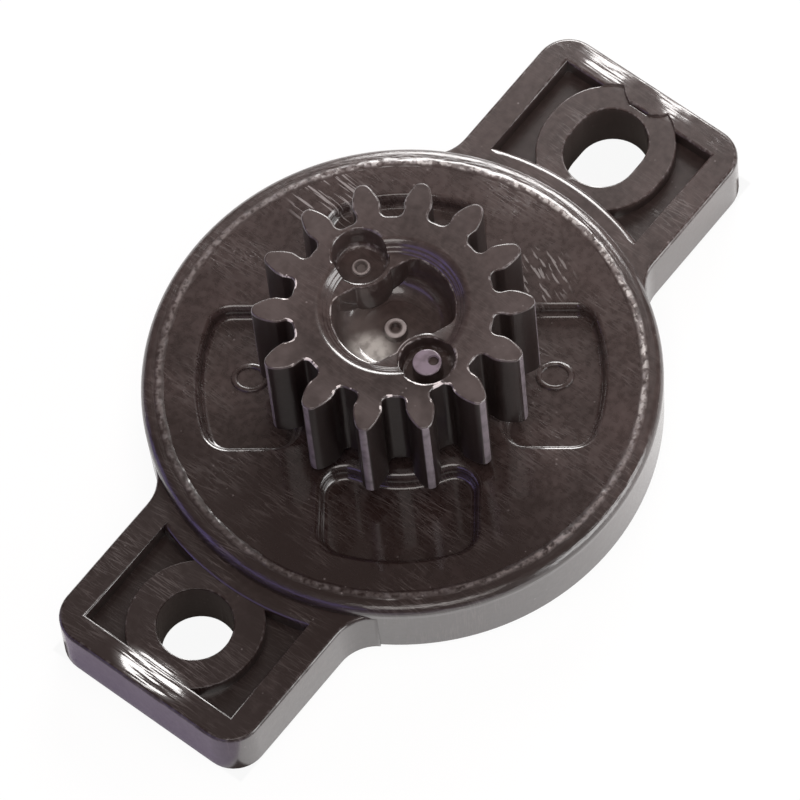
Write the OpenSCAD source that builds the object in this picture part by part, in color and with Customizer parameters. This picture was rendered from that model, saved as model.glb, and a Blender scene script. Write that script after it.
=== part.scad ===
// Rotary damper with a 14 tooth pinion and two screw ears
// Millimetres. Z is the pinion's axis and X runs through both screw holes.
// The origin is the middle of the underside.

/* [Body] */
// Diameter of the round body
body_d = 30; // [27:0.5:40]
// Height of the body's rim
body_h = 4.7; // [4.5:0.1:6.5]
// Rounding of the rim's outer edge
rim_round = 0.6; // [0.3:0.05:0.7]
// Width of the rim ring around the cover
rim_w = 1.1; // [0.9:0.05:1.5]
// Thickness of the body's floor
floor_t = 1.2; // [1.1:0.05:1.5]

/* [Ears] */
// Distance of each screw hole from the body's wall
hole_out = 4; // [3.6:0.1:7]
// Diameter of the round screw hole and width of the slotted one
hole_d = 4.4; // [3.2:0.1:5]
// How much longer than wide the slotted hole is
slot_extra = 0.9; // [0.3:0.1:1.2]
// Width of each ear
ear_w = 13.9; // [12.6:0.1:18]
// Thickness of each ear
ear_h = 3.9; // [3.2:0.1:4.1]
// Distance from a screw hole to the ear's end
ear_out = 5; // [4.6:0.1:8]
// Corner radius at an ear's end
ear_corner = 2; // [0.8:0.1:3.5]
// Fillet radius between an ear and the round body
ear_fillet = 2.5; // [1:0.1:4]
// Depth of the pockets in an ear's top
ear_pocket_depth = 1.1; // [0.5:0.1:1.8]
// Wall left around the ear pockets
ear_wall = 1.7; // [1.2:0.05:1.7]
// Diameter of the boss around a screw hole
boss_d = 7.9; // [6.6:0.1:8.4]
// How far a boss's top lies below the ear's top
boss_drop = 0.15; // [0.05:0.05:0.4]

/* [Cover] */
// Thickness of the cover
cover_t = 1.8; // [1.7:0.05:2]
// Depth of the four pockets in the cover
pocket_depth = 1; // [0.4:0.05:1.1]
// Width of each cover pocket
pocket_w = 8.8; // [6:0.1:9]
// Corner radius of the cover pockets
pocket_corner = 1.3; // [0.6:0.05:1.3]
// Turn of the cover pockets from the line of the ears
cover_turn = 37; // [0:1:90]
// Height of the weld bead around the cover
bead_h = 0.12; // [0.05:0.01:0.3]
// Width of the weld bead
bead_w = 0.55; // [0.3:0.05:0.7]

/* [Pinion] */
// Number of teeth
teeth = 14; // [13:1:16]
// Tooth module
gear_module = 1; // [0.9:0.05:1.2]
// Face width of the pinion
gear_h = 7.7; // [6:0.1:12]
// Gap between the cover and the pinion
gear_lift = 1; // [0.8:0.1:3]
// Depth of the ledge in the pinion's top
ledge_depth = 0.6; // [0.3:0.05:1]
// Thickness of the pinion's web
web_t = 4.4; // [3:0.1:4.8]
// Depth of the two gate wells
well_depth = 1.8; // [1:0.1:2.2]
// Turn of the hub's flats and gate wells from the line of the ears
well_turn = 67.5; // [60:0.5:75]

/* [Seals] */
// Section of the cover's seal ring
cover_seal_d = 1; // [0.8:0.05:1.1]
// Section of the shaft's seal ring
shaft_seal_d = 1.2; // [1:0.05:1.3]

/* [Hidden] */
$fn = 96;

// Gaps and small sizes
cover_gap = 0.05;
run_gap = 0.05;
seal_gap = 0.02;
press_gap = 0.01;
film_gap = 0.3;
bottom_round = 0.35;
wall_draft = 0.08;
land_w = 0.75;
land_slope = 0.4;
land_slope_h = 0.25;
edge_cut = 0.2;
overlap = 0.02;
run_out = 1;
seal_land = 0.7;

// Body and ears
body_r = body_d / 2;
hole_x = body_r + hole_out;
slot_x = hole_x + slot_extra / 6;
boss_extra = 0.2;
hole_r = hole_d / 2;
boss_r = boss_d / 2;
ear_x = hole_x + ear_out;
ear_hw = ear_w / 2;
ear_root = 0.5;
ear_pocket_x = ear_x - ear_wall;
ear_pocket_hw = ear_hw - ear_wall;
seat_r = body_r - rim_w;
foot_recess_r = 2;
foot_recess = 0.2;
foot_mark_out = 0.66 * body_r;
foot_mark_r = 1.1;
foot_mark_depth = 0.12;

// Heights of the cover
cover_z = body_h - cover_t;
flange_z = cover_z + cover_seal_d;

// Radii under the cover
groove_r = seat_r - cover_seal_d;
chamber_r = groove_r - seal_land;
rotor_gap = 0.5;
rotor_r = chamber_r - rotor_gap;
disc_z0 = floor_t + film_gap;
disc_z1 = cover_z - film_gap;
vent_r = 0.6;
vent_out = 0.67 * chamber_r;

// Pinion
pitch_r = gear_module * teeth / 2;
tip_r = pitch_r + gear_module;
root_drop = 1.25 * gear_module;
root_r = pitch_r - root_drop;
pressure = 20;
base_r = pitch_r * cos(pressure);
root_fillet = 0.42 * gear_module;
tooth_slack = 0.03 * gear_module;
tip_round = 0.2 * gear_module;
tip_flat = 0.3;
gear_z = body_h + gear_lift;
gear_top = gear_z + gear_h;
web_z = gear_z + web_t;
ledge_r = 0.73 * root_r;
ledge_z = gear_top - ledge_depth;
core_r = 0.61 * root_r;
core_hw = 0.41 * root_r;
core_corner = 0.16 * root_r;
core_draft = 0.03 * root_r;
core_round = min(0.14 * root_r, 0.8 * (ledge_z - web_z));
well_r = 0.278 * root_r;
well_out = 0.672 * root_r;
well_wall = 0.3;
relief_wall = 1.1;
relief_depth = 1.5;
relief_gap = 0.4;

// Pockets of the cover, with round witness marks in two of them
pocket_gap = 0.8;
pocket_rim = 2.3;
pocket_in_r = root_r + pocket_gap;
pocket_out_r = seat_r - pocket_rim;
mark_out = (pocket_in_r + pocket_out_r) / 2;
mark_shift = 0.4;
mark_r = 0.95;
mark_hollow_r = 0.68;
mark_h = 0.12;

// Gate pips: a low one in the far well, a tall one in the near well, a ring on the shaft's end
low_pip_r = 0.55;
low_pip_h = 0.2;
tall_pip_r = 0.76;
tall_pip_h = 0.72 * well_depth;
shaft_pip_r = 0.67;
shaft_pip_h = 0.6;
shaft_pip_hollow_r = 0.29;
pip_hollow = 0.2;
dimple_share = 0.38;
dimple_off = [-0.35, 0.3];

// Rotor
shaft_r = 0.52 * root_r;
drive_r = 0.45 * root_r;
drive_hw = 0.33 * root_r;
pivot_r = 1.5;
pivot_z = 0.6;
gland_r = shaft_r + shaft_seal_d;
hub_step = 0.5;
hub_r = gland_r + hub_step;
collar_h = gear_lift / 2;

// Damping rings: rotor ribs that run in grooves of the floor
ring_r = [0.56 * chamber_r, 0.78 * chamber_r];
ring_w = 0.8;
ring_reach = 0.2;
ring_drop = film_gap + ring_reach;
ring_groove = 0.5;

// Points along an arc, with or without its first one
function arc(cx, cy, r, a0, a1, n, first = 0) =
    [for (i = [first:n]) let (a = a0 + (a1 - a0) * i / n) [cx + r * cos(a), cy + r * sin(a)]];

function mirror_y(pts) = [for (i = [len(pts) - 1:-1:0]) [pts[i][0], -pts[i][1]]];

// Half outline of an ear, from inside the body to the ear's middle line
function ear_half() = let (
        c = [sqrt(pow(body_r + ear_fillet, 2) - pow(ear_hw + ear_fillet, 2)), ear_hw + ear_fillet],
        a = atan2(c[1], c[0]))
    concat(
        [[(body_r - ear_root) * cos(a), (body_r - ear_root) * sin(a)]],
        arc(c[0], c[1], ear_fillet, a + 180, 270, 8),
        arc(ear_x - ear_corner, ear_hw - ear_corner, ear_corner, 90, 0, 8));

// Outline of a cover pocket that lies along X
function pocket_half() = let (
        hw = pocket_w / 2 - pocket_corner,
        x_in = sqrt(pow(pocket_in_r + pocket_corner, 2) - hw * hw),
        x_out = sqrt(pow(pocket_out_r - pocket_corner, 2) - hw * hw),
        a_in = atan2(hw, x_in),
        a_out = atan2(hw, x_out))
    concat(
        arc(0, 0, pocket_in_r, 0, a_in, 6),
        arc(x_in, hw, pocket_corner, 180 + a_in, 90, 6, 1),
        arc(x_out, hw, pocket_corner, 90, a_out, 6),
        arc(0, 0, pocket_out_r, a_out, 0, 8, 1));

// Half a tooth's angle at radius r, from the involute
function inv(a) = tan(a) * 180 / PI - a;
function half_angle(r) =
    90 / teeth + inv(pressure) - inv(acos(min(1, base_r / r))) - asin(tooth_slack / r);

// One side of a tooth as radius and angle pairs, from the gap's middle to the tip.
// Below the base circle the gap has level sides and round corners.
function tooth_side() = let (
        gap_hw = base_r * sin(180 / teeth - half_angle(base_r)),
        y_f = gap_hw - root_fillet,
        x_f = sqrt(root_r * root_r - y_f * y_f) + root_fillet)
    concat(
        [[root_r, 180 / teeth]],
        [for (t = [0:22.5:90]) let (
            x = x_f - root_fillet * cos(t),
            y = y_f + root_fillet * sin(t))
            [norm([x, y]), 180 / teeth - atan2(y, x)]],
        [for (i = [0:6]) let (r = base_r + (tip_r - tip_round - base_r) * i / 6) [r, half_angle(r)]],
        [for (t = [30:30:90]) let (r = tip_r - tip_round * (1 - sin(t)))
            [r, half_angle(r) * (tip_flat + (1 - tip_flat) * cos(t))]]);

function tooth_points() = let (s = tooth_side(), n = len(s)) [
    for (k = [0:teeth - 1])
        for (i = [0:2 * n - 3])
            let (p = i < n ? s[i] : s[2 * n - 1 - i],
                 a = 360 * k / teeth + (i < n ? -p[1] : p[1]))
            [p[0] * cos(a), p[0] * sin(a)]];

module slot(r, extra, h) {
    for (s = [-1, 1])
        translate([s * extra / 2, 0, 0])
            cylinder(r = r, h = h);
    translate([-extra / 2, -r + overlap, 0])
        cube([extra, 2 * (r - overlap), h]);
}

module ears() {
    linear_extrude(ear_h)
        difference() {
            union() {
                polygon(concat(ear_half(), mirror_y(ear_half())));
                mirror([1, 0])
                    polygon(concat(ear_half(), mirror_y(ear_half())));
            }
            circle(r = body_r - 1.1 * ear_root);
        }
}

// Pockets on both sides of the boss of one ear, with the boss a little below the ear's top
module ear_pockets(x, extra) {
    land_r = body_r + land_w;
    difference() {
        translate([body_r, -ear_pocket_hw, ear_h - ear_pocket_depth])
            cube([ear_pocket_x - body_r, 2 * ear_pocket_hw, ear_pocket_depth + run_out]);
        rotate_extrude()
            polygon([
                [0, 0],
                [land_r + land_slope, 0],
                [land_r + land_slope, ear_h - land_slope_h],
                [land_r, ear_h],
                [land_r, ear_h + 2 * run_out],
                [0, ear_h + 2 * run_out]
            ]);
        translate([x, 0, 0])
            slot(boss_r, extra, ear_h - boss_drop);
    }
}

// Screw hole through one ear, round or slotted along X
module ear_hole(x, extra) {
    translate([x, 0, -run_out]) {
        if (extra > 0)
            slot(hole_r, extra, ear_h + 2 * run_out);
        else
            cylinder(r = hole_r, h = ear_h + 2 * run_out);
    }
}

module housing() {
    rim_arc = arc(body_r - rim_round, body_h - rim_round, rim_round, 4, 90, 6);
    foot_arc = arc(body_r - wall_draft - bottom_round, bottom_round, bottom_round, 270, 356, 5);
    color([0.1, 0.09, 0.09])
    difference() {
        union() {
            rotate_extrude()
                polygon(concat(
                    [[0, foot_recess], [foot_recess_r, foot_recess], [foot_recess_r, 0]],
                    foot_arc,
                    rim_arc,
                    [
                        [seat_r, body_h],
                        [seat_r, cover_z],
                        [chamber_r, cover_z],
                        [chamber_r, floor_t],
                        [pivot_r + run_gap, floor_t],
                        [pivot_r + run_gap, pivot_z],
                        [0, pivot_z]
                    ]));
            ears();
        }
        for (r = ring_r)
            translate([0, 0, floor_t - ring_groove])
                difference() {
                    cylinder(r = r + ring_w / 2 + film_gap, h = ring_groove + run_out);
                    translate([0, 0, -run_out])
                        cylinder(r = r - ring_w / 2 - film_gap, h = ring_groove + 3 * run_out);
                }
        ear_pockets(slot_x, slot_extra - 2 * boss_extra);
        ear_hole(slot_x, slot_extra);
        mirror([1, 0, 0]) {
            ear_pockets(hole_x, boss_extra);
            ear_hole(hole_x, 0);
        }
        for (k = [0:3])
            rotate(45 + 90 * k)
                translate([foot_mark_out, 0, -run_out])
                    cylinder(r = foot_mark_r, h = foot_mark_depth + run_out);
    }
}

module cover() {
    color([0.12, 0.1, 0.1])
    difference() {
        union() {
            rotate_extrude()
                polygon([
                    [shaft_r + run_gap, cover_z + shaft_seal_d],
                    [gland_r, cover_z + shaft_seal_d],
                    [gland_r, cover_z],
                    [groove_r, cover_z],
                    [groove_r, flange_z],
                    [seat_r - cover_gap, flange_z],
                    [seat_r - cover_gap, body_h],
                    [gland_r + seal_land, body_h],
                    [gland_r + seal_land - edge_cut, body_h + collar_h],
                    [shaft_r + run_gap, body_h + collar_h]
                ]);
            rotate_extrude()
                translate([seat_r, body_h])
                    polygon([
                        [-0.45 * bead_w, -bead_h],
                        [-0.45 * bead_w, 0],
                        [-0.25 * bead_w, 0.75 * bead_h],
                        [0.1 * bead_w, bead_h],
                        [0.4 * bead_w, 0.75 * bead_h],
                        [0.55 * bead_w, 0],
                        [-cover_gap, 0],
                        [-0.3 * bead_w, -bead_h]
                    ]);
        }
        for (k = [0:3])
            rotate(cover_turn + 90 * k)
                translate([0, 0, body_h - pocket_depth])
                    difference() {
                        linear_extrude(pocket_depth + run_out)
                            polygon(concat(pocket_half(), mirror_y(pocket_half())));
                        // Round witness mark, a raised ring on the floor of two opposite pockets
                        if (k % 2 == 1)
                            translate([mark_out, (k - 2) * mark_shift, -run_out])
                                difference() {
                                    cylinder(r = mark_r, h = mark_h + run_out, $fn = 48);
                                    translate([0, 0, run_out])
                                        cylinder(r = mark_hollow_r, h = run_out, $fn = 48);
                                }
                    }
    }
}

module cover_seal() {
    color([0.2, 0.2, 0.2])
    rotate_extrude()
        translate([groove_r + cover_seal_d / 2, cover_z + cover_seal_d / 2])
            circle(r = cover_seal_d / 2, $fn = 32);
}

module shaft_seal() {
    color([0.2, 0.2, 0.2])
    rotate_extrude()
        translate([shaft_r + (shaft_seal_d + seal_gap) / 2, cover_z + shaft_seal_d / 2])
            circle(r = (shaft_seal_d - seal_gap) / 2, $fn = 32);
}

// Round drive end with two flats
module drive(gap, h) {
    intersection() {
        cylinder(r = drive_r + gap, h = h);
        translate([-drive_hw - gap, -drive_r - run_out, -run_out])
            cube([2 * (drive_hw + gap), 2 * (drive_r + run_out), h + 2 * run_out]);
    }
}

module rotor() {
    color([0.13, 0.12, 0.12])
    union() {
        difference() {
            rotate_extrude()
                polygon([
                    [0, pivot_z],
                    [pivot_r - edge_cut, pivot_z],
                    [pivot_r, pivot_z + edge_cut],
                    [pivot_r, disc_z0],
                    [rotor_r, disc_z0],
                    [rotor_r, disc_z1],
                    [hub_r, disc_z1],
                    [hub_r, cover_z - run_gap],
                    [shaft_r, cover_z - run_gap],
                    [shaft_r, gear_z],
                    [0, gear_z]
                ]);
            for (k = [0:5])
                rotate(60 * k)
                    translate([vent_out, 0, disc_z0 - run_out])
                        cylinder(r = vent_r, h = disc_z1 - disc_z0 + 2 * run_out, $fn = 48);
        }
        for (r = ring_r)
            translate([0, 0, disc_z0 - ring_drop])
                difference() {
                    cylinder(r = r + ring_w / 2, h = ring_drop + overlap);
                    translate([0, 0, -run_out])
                        cylinder(r = r - ring_w / 2, h = ring_drop + 2 * run_out);
                }
        translate([0, 0, gear_z - overlap])
            rotate(well_turn)
                drive(0, web_t + overlap);
        // Gate pip on the shaft's end
        translate([0, 0, web_z - overlap])
            difference() {
                cylinder(r = shaft_pip_r, h = shaft_pip_h + overlap, $fn = 48);
                translate([0, 0, shaft_pip_h - 2 * pip_hollow])
                    cylinder(r = shaft_pip_hollow_r, h = run_out, $fn = 48);
            }
    }
}

// Outline of the core: two flats and round corners, open towards the round walls
function core_half() = let (
        x = core_hw - core_corner,
        y = sqrt(pow(core_r - core_corner, 2) - x * x),
        a = atan2(y, x))
    concat(
        arc(x, y, core_corner, 0, a, 5),
        [[0, 2 * core_r]],
        arc(-x, y, core_corner, 180 - a, 180, 5));

// Hollow core of the hub, a cup with two flats and a rounded floor
module core() {
    intersection() {
        rotate_extrude()
            polygon(concat(
                [[0, web_z]],
                arc(core_r - core_draft - core_round, web_z + core_round, core_round, 270, 360, 5),
                [[core_r, ledge_z + overlap], [0, ledge_z + overlap]]));
        translate([0, 0, web_z - run_out])
            linear_extrude(gear_h)
                polygon(concat(core_half(), [for (p = core_half()) -p]));
    }
}

module gear() {
    color([0.11, 0.1, 0.1])
    difference() {
        translate([0, 0, gear_z])
            linear_extrude(gear_h)
                polygon(tooth_points());
        translate([0, 0, ledge_z])
            cylinder(r = ledge_r, h = ledge_depth + run_out);
        difference() {
            rotate(well_turn)
                core();
            for (s = [0, 180])
                rotate(well_turn + s)
                    translate([well_out, 0, web_z - run_out])
                        cylinder(r = well_r + well_wall, h = gear_h);
        }
        for (s = [0, 180])
            rotate(well_turn + s)
                translate([well_out, 0, gear_top - well_depth])
                    difference() {
                        cylinder(r = well_r, h = well_depth + run_out);
                        if (s == 0)
                            gate_pip(low_pip_r, low_pip_h);
                        else
                            gate_pip(tall_pip_r, tall_pip_h);
                    }
        rotate(well_turn)
            translate([0, 0, gear_z - run_out])
                drive(press_gap, web_t + 1.5 * run_out);
        // Relief in the underside, between the hub and the teeth
        translate([0, 0, gear_z - run_out])
            difference() {
                cylinder(r = root_r - relief_wall, h = relief_depth + run_out);
                translate([0, 0, -run_out])
                    cylinder(r = shaft_r + relief_gap, h = relief_depth + 3 * run_out);
            }
    }
}

// Broken gate stub with a torn dimple
module gate_pip(r, h) {
    difference() {
        translate([0, 0, -run_out])
            cylinder(r = r, h = h + run_out, $fn = 48);
        translate([dimple_off[0] * r, dimple_off[1] * r, h - pip_hollow])
            cylinder(r = dimple_share * r, h = run_out, $fn = 48);
    }
}

housing();
cover();
cover_seal();
shaft_seal();
rotor();
gear();
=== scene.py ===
import math

import bmesh
import bpy
from mathutils import Matrix, Vector, noise


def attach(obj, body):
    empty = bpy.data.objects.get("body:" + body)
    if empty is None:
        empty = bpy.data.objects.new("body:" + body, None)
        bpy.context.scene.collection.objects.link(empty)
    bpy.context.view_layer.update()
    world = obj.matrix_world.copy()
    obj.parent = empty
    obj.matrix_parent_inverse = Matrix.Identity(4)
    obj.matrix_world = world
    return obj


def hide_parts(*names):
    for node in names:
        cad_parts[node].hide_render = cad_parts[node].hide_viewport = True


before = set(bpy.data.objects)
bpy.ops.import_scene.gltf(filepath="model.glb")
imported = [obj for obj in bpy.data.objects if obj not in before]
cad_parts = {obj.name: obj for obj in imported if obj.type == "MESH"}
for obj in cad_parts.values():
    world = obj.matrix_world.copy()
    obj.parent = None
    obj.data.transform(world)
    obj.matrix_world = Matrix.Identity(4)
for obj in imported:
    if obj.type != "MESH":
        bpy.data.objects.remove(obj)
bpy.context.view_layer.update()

# Sizes of the damper in millimetres, as in the solids
MM = 0.001
BODY_R = 15.0
BODY_H = 4.7
RIM_ROUND = 0.6
FOOT_ROUND = 0.35
FOOT_RECESS_R = 2.0
FOOT_RECESS = 0.2
FOOT_MARK_OUT = 9.9
FOOT_MARK_R = 1.1
FOOT_MARK_DEPTH = 0.12
WALL_DRAFT = 0.08
SEAT_R = 13.9
COVER_Z = 2.9
FLANGE_Z = 3.9
CHAMBER_R = 12.2
FLOOR_T = 1.2
PIVOT_R = 1.5
PIVOT_Z = 0.6
RUN_GAP = 0.05
EDGE_CUT = 0.2

HOLE_X = 19.0
SLOT_X = 19.15
HOLE_R = 2.2
SLOT_EXTRA = 0.9
EAR_HW = 6.95
EAR_H = 3.9
EAR_X = 24.0
EAR_CORNER = 2.0
EAR_FILLET = 2.5
EAR_POCKET = 1.1
EAR_WALL = 1.7
EAR_RIM = 1.2
EAR_ROUND = 0.22
EAR_POCKET_ROUND = 0.2
LAND_W = 0.75
LAND_SLOPE = 0.4
LAND_DROP = 0.25
BOSS_R = 3.95
BOSS_EXTRA = 0.2
BOSS_TOP = 3.75
BOSS_ROUND = 0.12
HOLE_ROUND = 0.12
MOON_X = 24.2
MOON_R = 2.0
MOON_ROUND = 0.07

POCKET_IN = 6.55
POCKET_OUT = 11.6
POCKET_HW = 4.4
POCKET_CORNER = 1.3
POCKET_DEPTH = 1.0
POCKET_FOOT = 0.35
POCKET_EDGE = 0.45
POCKET_STEEP = 80
COVER_TURN = 37.0
COLLAR_W = 1.9
COLLAR_H = 0.5
GLAND = 1.2
FLANGE_W = 1.0
MARK_OUT = 8.75
MARK_SHIFT = 0.43
MARK_LONG = 1.2
MARK_H = 0.12
MARK_ROUND = 0.06
BEAD_H = 0.12
BEAD_ROOT = 0.12
BEAD_LINE = ((-0.26, 0.01), (-0.16, 0.7), (-0.05, 0.95), (0.08, 1.0), (0.2, 0.8), (0.3, 0.01))
BEAD_DRIFT = 0.07

TEETH = 14
MODULE = 1.0
PRESSURE = 20
ROOT_DROP = 1.25
TOOTH_SLACK = 0.03
ROOT_FILLET = 0.42
TIP_ROUND = 0.2
TIP_LINE = ((0.1, 0.9), (0.05, 0.76), (0.02, 0.54), (0.0, 0.27))
TOOTH_EDGE = 0.13
GEAR_Z = 5.7
GEAR_TOP = 13.4
HUB_R = 5.52
HUB_EDGE = 0.16
RELIEF_R = 4.65
RELIEF_H = 1.5
RELIEF_WALL = 0.4
WEB_Z = 10.1
LEDGE_R = 4.2
LEDGE_FOOT_R = 3.6
LEDGE_ROUND = 0.5
LEDGE_RIPPLE = 0.005
LEDGE_RIPPLES = 2.5
LEDGE_EDGE = 0.1
LEDGE_Z = 12.8
CORE_R = 3.51
CORE_HW = 2.36
CORE_CORNER = 0.92
CORE_DRAFT = 0.17
CORE_ROUND = 1.5
WELL_R = 1.6
WELL_OUT = 3.864
WELL_WALL = 0.3
WELL_Z = 11.6
WELL_TURN = 67.5
WELL_DRAFT = 0.04
WELL_FOOT = 0.3
PIPS = ((0, 0.55, 0.2, 0.34, 0.0), (180, 0.88, 1.3, 0.34, 0.36))
PIP_HOLLOW = 0.22
PIP_EDGE = 0.08
SHAFT_R = 2.99
DRIVE_R = 2.59
DRIVE_HW = 1.9
DRIVE_GAP = 0.01
DISC_R = 11.7
DISC_Z = 1.5
DISC_TOP = 2.6
STEP_R = 4.69
STEP_TOP = 2.85
STUB_R = 0.67
STUB_H = 0.6
STUB_EDGE = 0.1

ROUND_STEPS = 160
BEAD_STEPS = 840
OVERLAP = 0.02
MERGE = 1e-4
SHARP = 38


# Drawing and shaping helpers


class Pen:
    """Draws a line of edges in the XY plane."""

    def __init__(self, bm, x, y):
        self.bm = bm
        self.tip = bm.verts.new((x, y, 0))

    def to(self, x, y):
        self.tip = bmesh.ops.extrude_vert_indiv(self.bm, verts=[self.tip])["verts"][0]
        self.tip.co = (x, y, 0)
        return self

    def turn(self, x, y, degrees, steps):
        spun = bmesh.ops.spin(self.bm, geom=[self.tip], cent=(x, y, 0), axis=(0, 0, 1),
                              angle=math.radians(degrees), steps=steps)
        self.tip = [g for g in spun["geom_last"] if isinstance(g, bmesh.types.BMVert)][0]
        return self


def tidy(bm):
    bmesh.ops.remove_doubles(bm, verts=bm.verts, dist=MERGE)
    bmesh.ops.recalc_face_normals(bm, faces=bm.faces)


def revolve(bm, steps=ROUND_STEPS):
    """Stands a drawn profile up in the XZ plane and turns it about Z."""
    bmesh.ops.rotate(bm, verts=bm.verts, cent=(0, 0, 0), matrix=Matrix.Rotation(math.radians(90), 3, "X"))
    bmesh.ops.spin(bm, geom=bm.verts[:] + bm.edges[:], cent=(0, 0, 0), axis=(0, 0, 1),
                   angle=math.tau, steps=steps, use_merge=True)
    tidy(bm)


def raise_outline(bm, z0, z1):
    """Fills a drawn closed outline and raises it from z0 to z1."""
    bmesh.ops.remove_doubles(bm, verts=bm.verts, dist=MERGE)
    bmesh.ops.contextual_create(bm, geom=bm.edges[:])
    bmesh.ops.translate(bm, verts=bm.verts, vec=(0, 0, z0))
    grown = bmesh.ops.extrude_face_region(bm, geom=bm.faces[:])["geom"]
    raised = [g for g in grown if isinstance(g, bmesh.types.BMVert)]
    bmesh.ops.translate(bm, verts=raised, vec=(0, 0, z1 - z0))
    tidy(bm)


def stack(rings):
    """A solid through level outlines. Each ring is a call that draws one closed outline, and its height."""
    bm = bmesh.new()
    loops = []
    for draw, z in rings:
        old = set(bm.verts)
        draw(bm)
        bmesh.ops.remove_doubles(bm, verts=[v for v in bm.verts if v not in old], dist=MERGE)
        new = [v for v in bm.verts if v not in old]
        bmesh.ops.translate(bm, verts=new, vec=(0, 0, z))
        loops.append(list({e for v in new for e in v.link_edges}))
    for lower, upper in zip(loops, loops[1:]):
        bmesh.ops.bridge_loops(bm, edges=lower + upper)
    for loop in (loops[0], loops[-1]):
        bmesh.ops.contextual_create(bm, geom=loop)
    tidy(bm)
    return bm


def place(bm, x=0, y=0, z=0, turn=0):
    bmesh.ops.translate(bm, verts=bm.verts, vec=(x, y, z))
    bmesh.ops.rotate(bm, verts=bm.verts, cent=(0, 0, 0), matrix=Matrix.Rotation(math.radians(turn), 3, "Z"))


def rod(r0, r1, z0, z1, steps=64):
    """A round solid about Z, plain or tapered."""
    bm = bmesh.new()
    bmesh.ops.create_cone(bm, cap_ends=True, segments=steps, radius1=r0, radius2=r1, depth=z1 - z0)
    bmesh.ops.translate(bm, verts=bm.verts, vec=(0, 0, (z0 + z1) / 2))
    return bm


def block(x0, x1, y0, y1, z0, z1):
    bm = bmesh.new()
    bmesh.ops.create_cube(bm, size=1)
    bmesh.ops.scale(bm, verts=bm.verts, vec=(x1 - x0, y1 - y0, z1 - z0))
    bmesh.ops.translate(bm, verts=bm.verts, vec=((x0 + x1) / 2, (y0 + y1) / 2, (z0 + z1) / 2))
    return bm


def oval(r, extra, z0, z1):
    """A slot shape along X."""
    bm = bmesh.new()
    h = extra / 2
    Pen(bm, h, -r).turn(h, 0, 180, 24).to(-h, r).turn(-h, 0, 180, 24).to(h, -r)
    raise_outline(bm, z0, z1)
    return bm


def soften(bm, width, segments, wanted):
    """Rounds the outer edges that wanted(a, b) picks by their ends, and marks the new faces as worn."""
    layer = bm.faces.layers.float.get("worn") or bm.faces.layers.float.new("worn")
    edges = [e for e in bm.edges if e.is_manifold and e.calc_face_angle_signed(0) > 0.3
             and wanted(e.verts[0].co, e.verts[1].co)]
    made = bmesh.ops.bevel(bm, geom=edges, offset=width, offset_type="OFFSET", segments=segments,
                           profile=0.5, affect="EDGES", material=-1, clamp_overlap=False)
    for face in made["faces"]:
        face[layer] = 1.0


def level(z, *points):
    return all(abs(p.z - z) < 1e-3 for p in points)


def to_mesh(bm):
    mesh = bpy.data.meshes.new("shape")
    bm.to_mesh(mesh)
    bm.free()
    return mesh


def to_bmesh(mesh):
    bm = bmesh.new()
    bm.from_mesh(mesh)
    bpy.data.meshes.remove(mesh)
    return bm


def combine(bm, tool, operation):
    """Adds, cuts or keeps the shared part of two solids, and gives the new solid."""
    pair = []
    for shape in (bm, tool):
        obj = bpy.data.objects.new("shape", to_mesh(shape))
        bpy.context.scene.collection.objects.link(obj)
        pair.append(obj)
    change = pair[0].modifiers.new("change", "BOOLEAN")
    change.operation = operation
    change.solver = "EXACT"
    change.object = pair[1]
    graph = bpy.context.evaluated_depsgraph_get()
    made = bpy.data.meshes.new_from_object(pair[0].evaluated_get(graph))
    for obj in pair:
        mesh = obj.data
        bpy.data.objects.remove(obj)
        bpy.data.meshes.remove(mesh)
    result = to_bmesh(made)
    bmesh.ops.remove_doubles(result, verts=result.verts, dist=MERGE)
    return result


def cut(bm, tool):
    return combine(bm, tool, "DIFFERENCE")


def add(bm, tool):
    return combine(bm, tool, "UNION")


def make_piece(bm, name, material, slot, body, *nodes):
    """Ends a solid as an object in metres that rides a body and stands for CAD nodes."""
    bmesh.ops.scale(bm, verts=bm.verts, vec=(MM, MM, MM))
    for face in bm.faces:
        face.smooth = True
    mesh = bpy.data.meshes.new(name)
    bm.to_mesh(mesh)
    bm.free()
    mesh.set_sharp_from_angle(angle=math.radians(SHARP))
    obj = bpy.data.objects.new(name, mesh)
    bpy.context.scene.collection.objects.link(obj)
    obj.data.materials.append(material)
    even = obj.modifiers.new("even", "WEIGHTED_NORMAL")
    even.keep_sharp = True
    even.weight = 60
    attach(obj, body)
    if nodes:
        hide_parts(*nodes)
    return obj


# Housing: round cup with two ears


def ear_block():
    bm = bmesh.new()
    cx = math.sqrt((BODY_R + EAR_FILLET) ** 2 - (EAR_HW + EAR_FILLET) ** 2)
    cy = EAR_HW + EAR_FILLET
    a = math.atan2(cy, cx)
    swing = 90 - math.degrees(a)
    x_in, y_in = 0.9 * BODY_R * math.cos(a), 0.9 * BODY_R * math.sin(a)
    x_c, y_c = EAR_X - EAR_CORNER, EAR_HW - EAR_CORNER
    pen = Pen(bm, x_in, y_in).to(BODY_R * math.cos(a), BODY_R * math.sin(a))
    pen.turn(cx, cy, swing, 10).to(x_c, EAR_HW).turn(x_c, y_c, -90, 10)
    pen.to(EAR_X, -y_c).turn(x_c, -y_c, -90, 10).to(cx, -EAR_HW).turn(cx, -cy, swing, 10)
    pen.to(x_in, -y_in).to(x_in, y_in)
    raise_outline(bm, 0, EAR_H)
    soften(bm, EAR_ROUND, 3, lambda p, q: level(p.z, q) and min(p.x, q.x) > x_in + 0.5)
    return bm


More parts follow.
